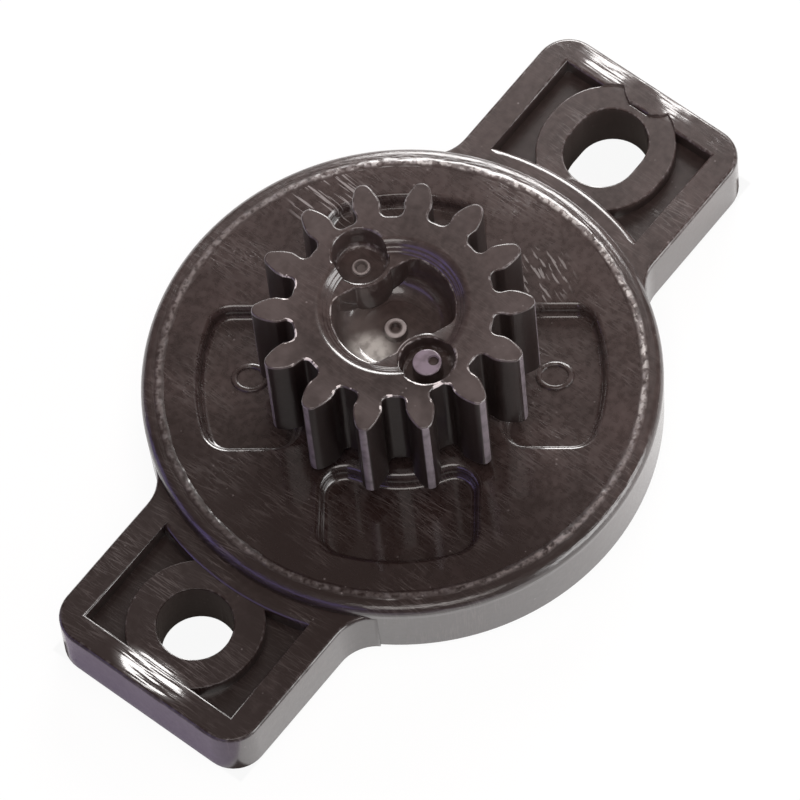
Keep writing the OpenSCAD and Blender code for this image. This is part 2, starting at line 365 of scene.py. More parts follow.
def ear_pockets(x, extra, moon):
    """What is cut from an ear's top: two pockets, with a boss a little below the ear's top between them.

    With moon, the boss runs on into the ear's end, up to a raised half-moon.
    """
    hw = EAR_HW - EAR_WALL
    bm = block(BODY_R, EAR_X - EAR_WALL, -hw, hw, EAR_H - EAR_POCKET, EAR_H + 1)
    land = bmesh.new()
    r = BODY_R + LAND_W
    pen = Pen(land, 0, 0).to(r + LAND_SLOPE, 0).to(r + LAND_SLOPE, EAR_H - LAND_DROP)
    pen.to(r + 0.8 * LAND_SLOPE, EAR_H - 0.45 * LAND_DROP)
    pen.to(r + 0.45 * LAND_SLOPE, EAR_H - 0.13 * LAND_DROP)
    pen.to(r, EAR_H).to(r, EAR_H + 2).to(0, EAR_H + 2)
    revolve(land)
    bm = cut(bm, land)
    if moon:
        reach = oval(BOSS_R - 0.01, extra, BOSS_TOP - 0.2, EAR_H + 0.7)
        place(reach, x)
        raised = rod(MOON_R, MOON_R, 0, 9, 96)
        place(raised, MOON_X)
        reach = cut(reach, block(0, x, -9, 9, 0, 9))
        bm = add(bm, cut(reach, raised))
    boss = oval(BOSS_R, extra, 0, BOSS_TOP)
    place(boss, x)
    return cut(bm, boss)


def build_housing(material):
    bm = bmesh.new()
    foot_r = BODY_R - WALL_DRAFT - FOOT_ROUND
    pen = Pen(bm, 0, FOOT_RECESS).to(FOOT_RECESS_R, FOOT_RECESS).to(FOOT_RECESS_R, 0).to(foot_r, 0)
    pen.turn(foot_r, FOOT_ROUND, 86, 6).to(BODY_R, BODY_H - RIM_ROUND)
    pen.turn(BODY_R - RIM_ROUND, BODY_H - RIM_ROUND, 90, 8).to(0, BODY_H)
    revolve(bm)
    for side in (0, 180):
        ear = ear_block()
        place(ear, turn=side)
        bm = add(bm, ear)

    cavity = bmesh.new()
    bush_r = PIVOT_R + RUN_GAP
    pen = Pen(cavity, 0, PIVOT_Z).to(bush_r, PIVOT_Z).to(bush_r, FLOOR_T).to(CHAMBER_R, FLOOR_T)
    pen.to(CHAMBER_R, COVER_Z).to(SEAT_R, COVER_Z).to(SEAT_R, BODY_H + 1).to(0, BODY_H + 1)
    revolve(cavity)
    bm = cut(bm, cavity)

    for side, x, extra, boss_extra in ((0, SLOT_X, SLOT_EXTRA, SLOT_EXTRA - 2 * BOSS_EXTRA),
                                       (180, HOLE_X, 0.0, BOSS_EXTRA)):
        pockets = ear_pockets(x, boss_extra, side == 0)
        place(pockets, turn=side)
        bm = cut(bm, pockets)
        hole = oval(HOLE_R, extra, -1, 9) if extra else rod(HOLE_R, HOLE_R, -1, 9)
        place(hole, x, turn=side)
        bm = cut(bm, hole)
    for k in range(4):
        mark = rod(FOOT_MARK_R, FOOT_MARK_R, -1, FOOT_MARK_DEPTH, 48)
        place(mark, FOOT_MARK_OUT, turn=45 + 90 * k)
        bm = cut(bm, mark)

    def in_ear(p):
        inside = abs(p.y) < EAR_HW - EAR_RIM and abs(p.x) < EAR_X - EAR_RIM
        return inside and p.xy.length > BODY_R + LAND_W + 0.05

    def at_moon(p):
        return p.x > EAR_X - EAR_WALL + 0.01 and abs(p.y) < EAR_HW - EAR_WALL

    soften(bm, EAR_POCKET_ROUND, 3, lambda p, q: level(EAR_H, p, q) and in_ear(p) and in_ear(q)
           and not at_moon(p) and not at_moon(q))
    soften(bm, MOON_ROUND, 2, lambda p, q: level(EAR_H, p, q) and at_moon((p + q) / 2))
    soften(bm, BOSS_ROUND, 2, lambda p, q: level(BOSS_TOP, p, q) and in_ear(p) and in_ear(q))
    soften(bm, HOLE_ROUND, 2, lambda p, q: level(0, p, q) and p.xy.length > BODY_R + 1 and abs(p.y) < 3)
    return make_piece(bm, "housing_shell", material, "black_plastic", "base", "housing")


# Cover: welded disc with four pockets


def pocket_line(bm, grow):
    """Draws a cover pocket's outline along X, moved outwards by grow."""
    r_in, r_out = POCKET_IN - grow, POCKET_OUT + grow
    wide, corner = POCKET_HW + grow, POCKET_CORNER + grow
    hw = POCKET_HW - POCKET_CORNER
    x_in = math.sqrt((r_in + corner) ** 2 - hw ** 2)
    x_out = math.sqrt((r_out - corner) ** 2 - hw ** 2)
    a_in = math.degrees(math.atan2(hw, x_in))
    a_out = math.degrees(math.atan2(hw, x_out))
    start = math.radians(a_in)
    pen = Pen(bm, r_in * math.cos(start), -r_in * math.sin(start)).turn(0, 0, 2 * a_in, 14)
    pen.turn(x_in, hw, -90 - a_in, 10).to(x_out, wide).turn(x_out, hw, a_out - 90, 10)
    pen.turn(0, 0, -2 * a_out, 20).turn(x_out, -hw, a_out - 90, 10).to(x_in, -wide)
    pen.turn(x_in, -hw, -90 - a_in, 10)


def cover_pocket():
    """What is cut from the cover: a pocket with a rounded floor edge and a rounded rim."""
    floor_z = BODY_H - POCKET_DEPTH
    rings = []
    for t in range(0, 91, 30):
        a = math.radians(t)
        rings.append((-POCKET_FOOT * (1 - math.sin(a)), floor_z + POCKET_FOOT * (1 - math.cos(a))))
    steep = math.radians(POCKET_STEEP)
    for t in range(0, POCKET_STEEP + 1, 16):
        a = math.radians(t)
        drop = POCKET_EDGE * (math.sin(steep) - math.sin(a))
        rings.append((POCKET_EDGE * (1 - math.cos(a)), BODY_H - drop))
    rings.append((POCKET_EDGE * (1 - math.cos(steep)), BODY_H + 1))
    return stack([(lambda bm, grow=grow: pocket_line(bm, grow), z) for grow, z in rings])


def build_cover(material):
    bm = bmesh.new()
    bore_r, edge_r = SHAFT_R + RUN_GAP, SEAT_R - RUN_GAP
    gland_r, gland_z = SHAFT_R + GLAND, COVER_Z + GLAND
    collar_r, collar_z = SHAFT_R + COLLAR_W, BODY_H + COLLAR_H
    flange_r = SEAT_R - FLANGE_W
    pen = Pen(bm, bore_r, gland_z).to(gland_r, gland_z).to(gland_r, COVER_Z)
    pen.to(flange_r, COVER_Z).to(flange_r, FLANGE_Z).to(edge_r, FLANGE_Z).to(edge_r, BODY_H)
    pen.to(collar_r, BODY_H).to(collar_r - EDGE_CUT, collar_z).to(bore_r, collar_z)
    pen.to(bore_r, gland_z)
    revolve(bm)
    for k in range(4):
        pocket = cover_pocket()
        place(pocket, turn=COVER_TURN + 90 * k)
        bm = cut(bm, pocket)
    for k in (1, 3):
        mark = cut(rod(0.98, 0.9, -0.1, MARK_H, 40), rod(0.62, 0.7, 0, 0.3, 40))
        soften(mark, MARK_ROUND, 2, lambda p, q: level(MARK_H, p, q))
        bmesh.ops.scale(mark, verts=mark.verts, vec=(MARK_LONG, 1, 1))
        place(mark, MARK_OUT, (k - 2) * MARK_SHIFT, BODY_H - POCKET_DEPTH, COVER_TURN + 90 * k)
        bm = add(bm, mark)
    return make_piece(bm, "cover_disc", material, "black_plastic", "base", "cover")


def build_bead(material):
    """Uneven seam of melted plastic where the cover is welded into the rim."""
    bm = bmesh.new()
    root_z = BODY_H - BEAD_ROOT
    r_in, r_out = SEAT_R + BEAD_LINE[0][0], SEAT_R + BEAD_LINE[-1][0]
    pen = Pen(bm, r_in, root_z)
    for out, up in BEAD_LINE:
        pen.to(SEAT_R + out, BODY_H + BEAD_H * up)
    pen.to(r_out, root_z).to(r_in, root_z)
    revolve(bm, BEAD_STEPS)
    layer = bm.verts.layers.float.new("worn")
    for v in bm.verts:
        lift = v.co.z - BODY_H
        if lift < 0:
            continue
        spot = Vector((v.co.x, v.co.y, 3 * v.co.xy.length))
        swell = 0.42 + 0.3 * noise.noise(0.45 * spot) + 0.3 * noise.noise(1.9 * spot)
        swell = min(max(swell + 0.12 * noise.noise(5.3 * spot), 0.2), 1.0)
        v.co.z = BODY_H + lift * swell
        v[layer] = max(0.0, 3 * lift / BEAD_H - 2) * min(1.0, 0.3 + swell)
        drift = BEAD_DRIFT * noise.noise(1.1 * spot + Vector((7, 3, 1)))
        v.co.xy = v.co.xy * (1 + drift / SEAT_R)
    return make_piece(bm, "weld_bead", material, "black_plastic", "base")


# Pinion: involute teeth and a hollow hub


def tooth_line(bm):
    """Draws one tooth from gap to gap: involute flanks, and gaps with level sides and round corners."""
    pitch_r = MODULE * TEETH / 2
    tip_r = pitch_r + MODULE
    root_r = pitch_r - ROOT_DROP * MODULE
    pressure = math.radians(PRESSURE)
    base_r = pitch_r * math.cos(pressure)
    gap = math.pi / TEETH

    def involute(angle):
        return math.tan(angle) - angle

    def half(r):
        lean = involute(pressure) - involute(math.acos(min(1.0, base_r / r)))
        return gap / 2 + lean - math.asin(TOOTH_SLACK / r)

    y_f = base_r * math.sin(gap - half(base_r)) - ROOT_FILLET
    x_f = math.sqrt(root_r ** 2 - y_f ** 2) + ROOT_FILLET
    side = [(root_r, gap)]
    for t in range(0, 91, 15):
        x = x_f - ROOT_FILLET * math.cos(math.radians(t))
        y = y_f + ROOT_FILLET * math.sin(math.radians(t))
        side.append((math.hypot(x, y), gap - math.atan2(y, x)))
    for i in range(13):
        r = base_r + (tip_r - TIP_ROUND - base_r) * i / 12
        side.append((r, half(r)))
    for drop, share in TIP_LINE:
        side.append((tip_r - drop, half(tip_r - drop) * share))
    line = [(r, -a) for r, a in side] + [(r, a) for r, a in reversed(side)]
    points = [(r * math.cos(a), r * math.sin(a)) for r, a in line]
    pen = Pen(bm, *points[0])
    for x, y in points[1:]:
        pen.to(x, y)


def gate_pip(r, h, hollow_r, off):
    """A torn gate stub with a small hollow, which may lie off its middle."""
    bm = rod(r, 0.94 * r, -0.3, h, 40)
    soften(bm, PIP_EDGE, 3, lambda p, q: level(h, p, q))
    hollow = rod(0.7 * hollow_r, hollow_r, h - PIP_HOLLOW, h + OVERLAP, 24)
    place(hollow, 0.24 * off, off)
    return cut(bm, hollow)


def ledge_tool():
    """The sloped ledge round the hub's hollow: a rounded rim, then a cone with fine turned steps."""
    bm = bmesh.new()
    rim_r = LEDGE_R + LEDGE_ROUND / 2
    pen = Pen(bm, 0, LEDGE_Z).to(LEDGE_FOOT_R, LEDGE_Z)
    a = math.radians(45)
    top_r, top_z = rim_r - LEDGE_ROUND * math.sin(a), GEAR_TOP - LEDGE_ROUND * (1 - math.cos(a))
    for i in range(1, 20):
        share = i / 20
        ripple = LEDGE_RIPPLE * math.sin(math.tau * LEDGE_RIPPLES * share)
        r, z = LEDGE_FOOT_R + (top_r - LEDGE_FOOT_R) * share, LEDGE_Z + (top_z - LEDGE_Z) * share
        pen.to(r - ripple, z + ripple)
    for t in range(45, 0, -9):
        a = math.radians(t)
        pen.to(rim_r - LEDGE_ROUND * math.sin(a), GEAR_TOP - LEDGE_ROUND * (1 - math.cos(a)))
    pen.to(rim_r, GEAR_TOP).to(rim_r, GEAR_TOP + 1).to(0, GEAR_TOP + 1)
    revolve(bm, 128)
    return bm


def core_tool():
    """The hollow in the hub: a cup with two flats, round corners and a rounded floor."""
    bm = bmesh.new()
    r = CORE_R - CORE_DRAFT - CORE_ROUND
    pen = Pen(bm, 0, WEB_Z).to(r, WEB_Z).turn(r, WEB_Z + CORE_ROUND, 90, 7)
    pen.to(CORE_R, LEDGE_Z + OVERLAP).to(0, LEDGE_Z + OVERLAP)
    revolve(bm, 96)
    x = CORE_HW - CORE_CORNER
    y = math.sqrt((CORE_R - CORE_CORNER) ** 2 - x ** 2)
    a = math.degrees(math.atan2(y, x))
    end_x, end_y = CORE_R * x / (CORE_R - CORE_CORNER), CORE_R * y / (CORE_R - CORE_CORNER)
    outline = bmesh.new()
    pen = Pen(outline, CORE_HW, -y).to(CORE_HW, y).turn(x, y, a, 8).to(0, 2 * CORE_R).to(-end_x, end_y)
    pen.turn(-x, y, a, 8).to(-CORE_HW, -y).turn(-x, -y, a, 8).to(0, -2 * CORE_R).to(end_x, -end_y)
    pen.turn(x, -y, a, 8)
    raise_outline(outline, WEB_Z - 1, GEAR_TOP)
    bm = combine(bm, outline, "INTERSECT")
    for side in (0, 180):
        wall = rod(WELL_R + WELL_WALL, WELL_R + WELL_WALL, GEAR_Z, GEAR_TOP + 2)
        place(wall, WELL_OUT, turn=side)
        bm = cut(bm, wall)
    place(bm, turn=WELL_TURN)
    return bm


def build_pinion(material):
    bm = bmesh.new()
    tooth_line(bm)
    step = math.tau / TEETH
    bmesh.ops.spin(bm, geom=bm.verts[:] + bm.edges[:], cent=(0, 0, 0), axis=(0, 0, 1),
                   angle=step * (TEETH - 1), steps=TEETH - 1, use_duplicate=True)
    raise_outline(bm, GEAR_Z, GEAR_TOP)
    soften(bm, TOOTH_EDGE, 3, lambda p, q: level(p.z, q))
    for v in bm.verts:
        if v.co.z > GEAR_TOP - TOOTH_EDGE - 0.01:
            rag = 0.035 * noise.noise(2.3 * v.co) + 0.02 * noise.noise(7.1 * v.co)
            v.co.xy = v.co.xy * (1 + min(rag, 0.0) / v.co.xy.length)

    bm = cut(bm, ledge_tool())
    bm = cut(bm, core_tool())
    for side in (0, 180):
        well = rod(WELL_R - WELL_DRAFT, WELL_R, WELL_Z, GEAR_TOP + 1)
        soften(well, WELL_FOOT, 4, lambda p, q: level(WELL_Z, p, q))
        place(well, WELL_OUT, turn=WELL_TURN + side)
        bm = cut(bm, well)

    def within(r, p, q):
        return max(p.xy.length, q.xy.length) < r

    soften(bm, HUB_EDGE, 3, lambda p, q: level(GEAR_TOP, p, q) and within(HUB_R, p, q))
    soften(bm, LEDGE_EDGE, 2, lambda p, q: level(LEDGE_Z, p, q) and within(LEDGE_R - 0.05, p, q))
    for side, r, h, hollow_r, off in PIPS:
        pip = gate_pip(r, h, hollow_r, off)
        place(pip, WELL_OUT, 0, WELL_Z, WELL_TURN + side)
        bm = add(bm, pip)
    bm = cut(bm, drive_end(GEAR_Z - 1, WEB_Z + OVERLAP, DRIVE_GAP))
    sleeve_r = SHAFT_R + RELIEF_WALL
    relief = rod(RELIEF_R, RELIEF_R, GEAR_Z - 1, GEAR_Z + RELIEF_H, 96)
    bm = cut(bm, cut(relief, rod(sleeve_r, sleeve_r, 0, 20, 96)))
    return make_piece(bm, "pinion_gear", material, "black_plastic", "pinion", "gear")


# Rotor: shaft with the disc that turns in the fluid


def drive_end(z0, z1, gap):
    """The shaft's end with two flats, grown by gap."""
    bm = combine(rod(DRIVE_R + gap, DRIVE_R + gap, z0, z1, 96),
                 block(-DRIVE_HW - gap, DRIVE_HW + gap, -9, 9, z0 - 1, z1 + 1), "INTERSECT")
    place(bm, turn=WELL_TURN)
    return bm


def build_rotor(material):
    bm = bmesh.new()
    pen = Pen(bm, 0, PIVOT_Z).to(PIVOT_R - EDGE_CUT, PIVOT_Z).to(PIVOT_R, PIVOT_Z + EDGE_CUT)
    pen.to(PIVOT_R, DISC_Z).to(DISC_R, DISC_Z).to(DISC_R, DISC_TOP).to(STEP_R, DISC_TOP)
    pen.to(STEP_R, STEP_TOP).to(SHAFT_R, STEP_TOP).to(SHAFT_R, GEAR_Z).to(0, GEAR_Z)
    revolve(bm, 96)
    bm = add(bm, drive_end(GEAR_Z - 0.2, WEB_Z, 0))
    pip = rod(STUB_R, 0.64, -0.2, STUB_H, 40)
    soften(pip, STUB_EDGE, 3, lambda p, q: level(STUB_H, p, q))
    pip = cut(pip, rod(0.26, 0.31, 0.2, 0.65, 24))
    place(pip, z=WEB_Z)
    bm = add(bm, pip)
    return make_piece(bm, "rotor_shaft", material, "black_plastic", "pinion", "rotor")


# Finishes
BROWN_BLACK = (0.015, 0.0085, 0.0075, 1)
GREY_BLACK = (0.054, 0.037, 0.035, 1)
# Painted shade for the ear hollows
HOLLOW_SHADE_BLACK = (0.009, 0.005, 0.0045, 1)
# Painted shade for the tooth flanks
FLANK_SHADE_BLACK = (0.010, 0.006, 0.0055, 1)
RUBBED_GREY = (0.22, 0.19, 0.185, 1)
DUST_GREY = (0.30, 0.27, 0.27, 1)
EDGE_GREY = (0.30, 0.28, 0.29, 1)
# Painted glare on the ear dents
GLARE_GREY = (0.35, 0.34, 0.34, 1)
STROKE_GREY = (0.30, 0.28, 0.28, 1)
SEAM_GREY = (0.20, 0.175, 0.17, 1)
FLECK_WHITE = (0.60, 0.58, 0.57, 1)
# Painted light on the tooth tops
TOP_LIGHT_GREY = (0.078, 0.061, 0.059, 1)
# Rubbed tips with a painted lilac sheen
TIP_RUB_AND_SHEEN_GREY = (0.19, 0.165, 0.185, 1)
# White burrs that are also painted glints
BURR_AND_GLINT_WHITE = (0.6, 0.56, 0.56, 1)
# Painted light on the core's floor
CORE_LIGHT_GREY = (0.11, 0.093, 0.089, 1)
# Painted glare patch on the core's floor
GLARE_PATCH_WHITE = (0.46, 0.45, 0.435, 1)
# Painted glare on the gate stubs and the rotor's stub
PIP_GLARE_LILAC = (0.17, 0.135, 0.17, 1)
PIP_GLARE_GREY = (0.28, 0.25, 0.25, 1)
PIP_GLARE_DIM = (0.10, 0.085, 0.083, 1)
STUB_GLARE_GREY = (0.30, 0.27, 0.27, 1)
RUBBER_DARK = (0.014, 0.014, 0.015, 1)
RUBBER_LIGHT = (0.028, 0.027, 0.027, 1)

# Places of the marks: strokes on the cover in metres, a painted glare patch on the core's floor in
# millimetres
STROKES_AT = (0.0065, 0.0106, 0.0047)
SCORES_AT = (0.0098, -0.0024, 0.0047)
GLARE_X, GLARE_Y = -1.9, 0.35

# How dents on the ears lean towards the light
DENT_LEAN = (0.36, 0.08, 0.0)


class Finish:
    """Short ways to add shader nodes to one new material."""

    def __init__(self, name):
        self.material = bpy.data.materials.new(name)
        self.material.use_nodes = True
        self.tree = self.material.node_tree
        self.surface = self.tree.nodes["Principled BSDF"]
        self.spot = self.add("ShaderNodeTexCoord", {}).outputs["Object"]

    def put(self, socket, value):
        if isinstance(value, bpy.types.NodeSocket):
            self.tree.links.new(value, socket)
        else:
            socket.default_value = value

    def add(self, kind, inputs, **settings):
        node = self.tree.nodes.new(kind)
        for key, value in settings.items():
            setattr(node, key, value)
        for key, value in inputs.items():
            self.put(node.inputs[key], value)
        return node

    def calc(self, operation, a, b=0.0, c=0.0):
        return self.add("ShaderNodeMath", {0: a, 1: b, 2: c}, operation=operation).outputs[0]

    def noise(self, spot, scale, detail=2.0):
        return self.add("ShaderNodeTexNoise", {"Vector": spot, "Scale": scale, "Detail": detail}).outputs[0]

    def ramp(self, value, low, high, to_low=0.0, to_high=1.0):
        return self.add("ShaderNodeMapRange", {
            "Value": value, "From Min": low, "From Max": high, "To Min": to_low, "To Max": to_high},
            interpolation_type="SMOOTHSTEP").outputs[0]

    def mix(self, share, a, b):
        return self.add("ShaderNodeMix", {0: share, 6: a, 7: b}, data_type="RGBA").outputs[2]

    def lines(self, turn, length, width, low):
        """Thin straight marks of that length and width in metres, in one direction about Z."""
        turned = self.add("ShaderNodeMapping", {
            "Vector": self.spot, "Rotation": (0, 0, math.radians(turn)), "Scale": (length, width, length)},
            vector_type="TEXTURE").outputs[0]
        return self.ramp(self.noise(turned, 1.0), low, low + 0.05)

    def near(self, point, outer, inner):
        """One close to a point, falling to nothing at the outer distance in metres."""
        gap = self.add("ShaderNodeVectorMath", {0: self.spot, 1: point}, operation="DISTANCE").outputs[1]
        return self.ramp(gap, outer, inner)

    def length(self, a, b):
        """The long side of a right triangle."""
        return self.calc("SQRT", self.calc("ADD", self.calc("MULTIPLY", a, a), self.calc("MULTIPLY", b, b)))

    def wear(self):
        """The worn mark that the bevels leave on their faces."""
        return self.add("ShaderNodeAttribute", {}, attribute_name="worn").outputs["Fac"]

    def set(self, **values):
        for key, value in values.items():
            self.put(self.surface.inputs[key.replace("_", " ")], value)


def streaks(f, low):
    """Fine rubbing marks along Y, in three slightly different directions."""
    marks = f.lines(90, 0.0022, 0.00007, low)
    for turn, length, width in ((82, 0.0014, 0.00006), (99, 0.0017, 0.00008)):
        marks = f.calc("MAXIMUM", marks, f.lines(turn, length, width, low))
    return marks


def black_plastic(name, rough, scuffs, ragged, sheen, extra):
    """Moulded plastic with a mottled tone and painted shade darker towards -X, fine grain, rubbing marks,
    dust specks and worn edges.

    Rough and sheen are the roughness below and of the gloss, scuffs and ragged the share of marks and of
    worn edges. Extra adds a piece's own marks, and gives tone, bump and a dull share or None.
    """
    f = Finish(name)
    mottle = f.ramp(f.noise(f.spot, 2400.0, 4.0), 0.2, 0.8)
    x, y = f.add("ShaderNodeSeparateXYZ", {0: f.spot}).outputs[:2]
    cloud = f.calc("MULTIPLY", f.noise(f.spot, 330.0, 2.0), 0.6)
    # Painted shade: darker towards -X and a little lighter towards +X, as the light falls. The mottle and
    # the cloud are the plastic's own tone.
    along = f.calc("MULTIPLY_ADD", y, 0.45, x)
    painted_shade_end = f.ramp(along, -0.011, -0.001, -0.38, 0.03)
    painted_light_end = f.ramp(along, 0.008, 0.014, 0.0, 0.06)
    mottle_and_painted_shade = f.calc("ADD", painted_shade_end, painted_light_end)
    mottle_and_painted_shade = f.calc("MULTIPLY_ADD", mottle, 0.3, f.calc("ADD", mottle_and_painted_shade, cloud))
    mottle_and_painted_shade = f.ramp(mottle_and_painted_shade, 0.05, 0.9)
    grain = f.noise(f.spot, 7000.0, 2.0)
    patch = f.ramp(f.noise(f.spot, 260.0, 2.0), 0.36, 0.72)
    marks = f.calc("MULTIPLY", f.calc("MULTIPLY", streaks(f, 0.6), patch), scuffs)
    cells = f.add("ShaderNodeTexVoronoi", {"Vector": f.spot, "Scale": 1900.0})
    few = f.ramp(f.noise(f.spot, 900.0, 1.0), 0.58, 0.66)
    dust = f.calc("MULTIPLY", f.ramp(cells.outputs["Distance"], 0.15, 0.07), few)
    edge = f.calc("MULTIPLY", f.wear(), f.ramp(f.noise(f.spot, 3100.0, 3.0), 0.46, 0.7))
    edge = f.calc("MULTIPLY", edge, f.ramp(x, -0.012, 0.01, 0.4 * ragged, ragged))
    tone = f.mix(mottle_and_painted_shade, BROWN_BLACK, GREY_BLACK)
    tone = f.mix(f.calc("MULTIPLY", marks, 0.32), tone, RUBBED_GREY)
    tone = f.mix(f.calc("MULTIPLY", dust, 0.3), tone, DUST_GREY)
    tone = f.mix(edge, tone, EDGE_GREY)
    height = f.calc("ADD", f.calc("MULTIPLY", grain, 0.25), f.calc("MULTIPLY", marks, -0.25))
    height = f.calc("ADD", height, f.calc("MULTIPLY", mottle, 0.15))
    bump = f.add("ShaderNodeBump", {"Strength": 0.5, "Distance": 0.000014, "Height": height}).outputs[0]
    tone, bump, matt = extra(f, tone, bump)
    spread = f.calc("ADD", rough, f.calc("MULTIPLY", f.calc("ADD", grain, mottle), 0.06))
    f.set(Base_Color=tone, Roughness=f.calc("ADD", spread, f.calc("MULTIPLY", marks, 0.12)), Normal=bump)
    dull = f.calc("MULTIPLY", f.wear(), f.ramp(f.noise(f.spot, 700.0, 3.0), 0.58, 0.4))
    gloss = f.ramp(dull, 0.0, 1.0, 0.8, 0.2)
    if matt is not None:
        gloss = f.calc("MULTIPLY", gloss, f.ramp(matt, 0.0, 1.0, 1.0, 0.3))
    f.set(Coat_Weight=gloss, Coat_Roughness=sheen, Coat_IOR=1.8, Coat_Normal=bump)
    return f.material


def ears_dents_and_painted_shade(f, tone, bump):
    """Painted shade in the hollows, a streaky rim, and dents on the outer ends of the ears that lean towards
    the light and are painted paler there as painted glare.
    """
    x, y, z = f.add("ShaderNodeSeparateXYZ", {0: f.spot}).outputs[:3]
    # Painted shade: the ear pockets are darkened.
    painted_hollow_shade = f.calc("MULTIPLY", f.ramp(z, 0.0036, 0.0033), f.ramp(f.calc("ABSOLUTE", y), 0.0062, 0.0058))
    tone = f.mix(f.calc("MULTIPLY", painted_hollow_shade, 0.5), tone, HOLLOW_SHADE_BLACK)
    out = f.length(x, y)
    polar = f.add("ShaderNodeCombineXYZ", {
        0: f.calc("MULTIPLY", f.calc("ARCTAN2", y, x), 14.0), 1: f.calc("MULTIPLY", out, 9000.0),
        2: f.calc("MULTIPLY", z, 9000.0)}).outputs[0]
    on_rim = f.calc("MULTIPLY", f.ramp(out, 0.01515, 0.01505), f.ramp(z, 0.0038, 0.0041))
    rings = f.calc("MULTIPLY", f.noise(polar, 1.0, 3.0), on_rim)
    bump = f.add("ShaderNodeBump", {
        "Strength": 0.8, "Distance": 0.00003, "Height": rings, "Normal": bump}).outputs[0]
    across = f.calc("DIVIDE", f.calc("ADD", x, 0.0229), 0.0011)
    along = f.calc("DIVIDE", y, 0.0026)
    round_ear = f.ramp(f.length(across, along), 1.15, 0.6)
    bands = f.ramp(f.noise(f.spot, 330.0, 2.0), 0.42, 0.62, 0.0, 0.5)
    slot_ear = f.calc("MULTIPLY", f.ramp(x, 0.0223, 0.0229), bands)
    turned = f.add("ShaderNodeMapping", {"Vector": f.spot, "Scale": (0.00013, 0.0026, 0.001)},
                   vector_type="TEXTURE").outputs[0]
    lines = f.ramp(f.noise(turned, 1.0, 4.0), 0.34, 0.6)
    share = f.calc("MULTIPLY", f.calc("MAXIMUM", round_ear, slot_ear), lines)
    lean = f.add("ShaderNodeVectorMath", {0: DENT_LEAN, "Scale": share}, operation="SCALE").outputs[0]
    moved = f.add("ShaderNodeVectorMath", {0: bump, 1: lean}, operation="ADD").outputs[0]
    bump = f.add("ShaderNodeVectorMath", {0: moved}, operation="NORMALIZE").outputs[0]
    # Painted glare: the leaning dents are also painted paler.
    return f.mix(f.calc("MULTIPLY", share, 0.25), tone, GLARE_GREY), bump, None


def stroked_cover(f, tone, bump):
    """A few long pale strokes near the rim, and short scores beside the pinion."""
    strokes = f.calc("MULTIPLY", f.lines(87, 0.0026, 0.00016, 0.55), f.near(STROKES_AT, 0.0026, 0.0014))
    scores = f.calc("MULTIPLY", f.lines(67, 0.0012, 0.00020, 0.57), f.near(SCORES_AT, 0.0024, 0.0012))
    strokes = f.calc("MAXIMUM", strokes, f.calc("MULTIPLY", scores, 0.7))
    return f.mix(f.calc("MULTIPLY", strokes, 0.7), tone, STROKE_GREY), bump, None


def grained_seam(f, tone, bump):
    """Grainy pale plastic along the crest of the weld, fainter at the round hole's side, and white flecks
    towards +X.
    """
    x = f.add("ShaderNodeSeparateXYZ", {0: f.spot}).outputs[0]
    crest = f.calc("MULTIPLY", f.wear(), f.ramp(f.noise(f.spot, 3600.0, 3.0), 0.36, 0.6))
    crest = f.calc("MULTIPLY", crest, f.ramp(x, -0.014, -0.003, 0.3, 0.9))
    tone = f.mix(crest, tone, SEAM_GREY)
    # White flecks on the crest, only towards +X.
    crest_flecks = f.ramp(f.noise(f.spot, 2600.0, 4.0), 0.5, 0.6)
    crest_flecks = f.calc("MULTIPLY", crest_flecks, f.ramp(x, 0.002, 0.009, 0.0, 0.8))
    return f.mix(f.calc("MULTIPLY", crest_flecks, f.wear()), tone, FLECK_WHITE), bump, None


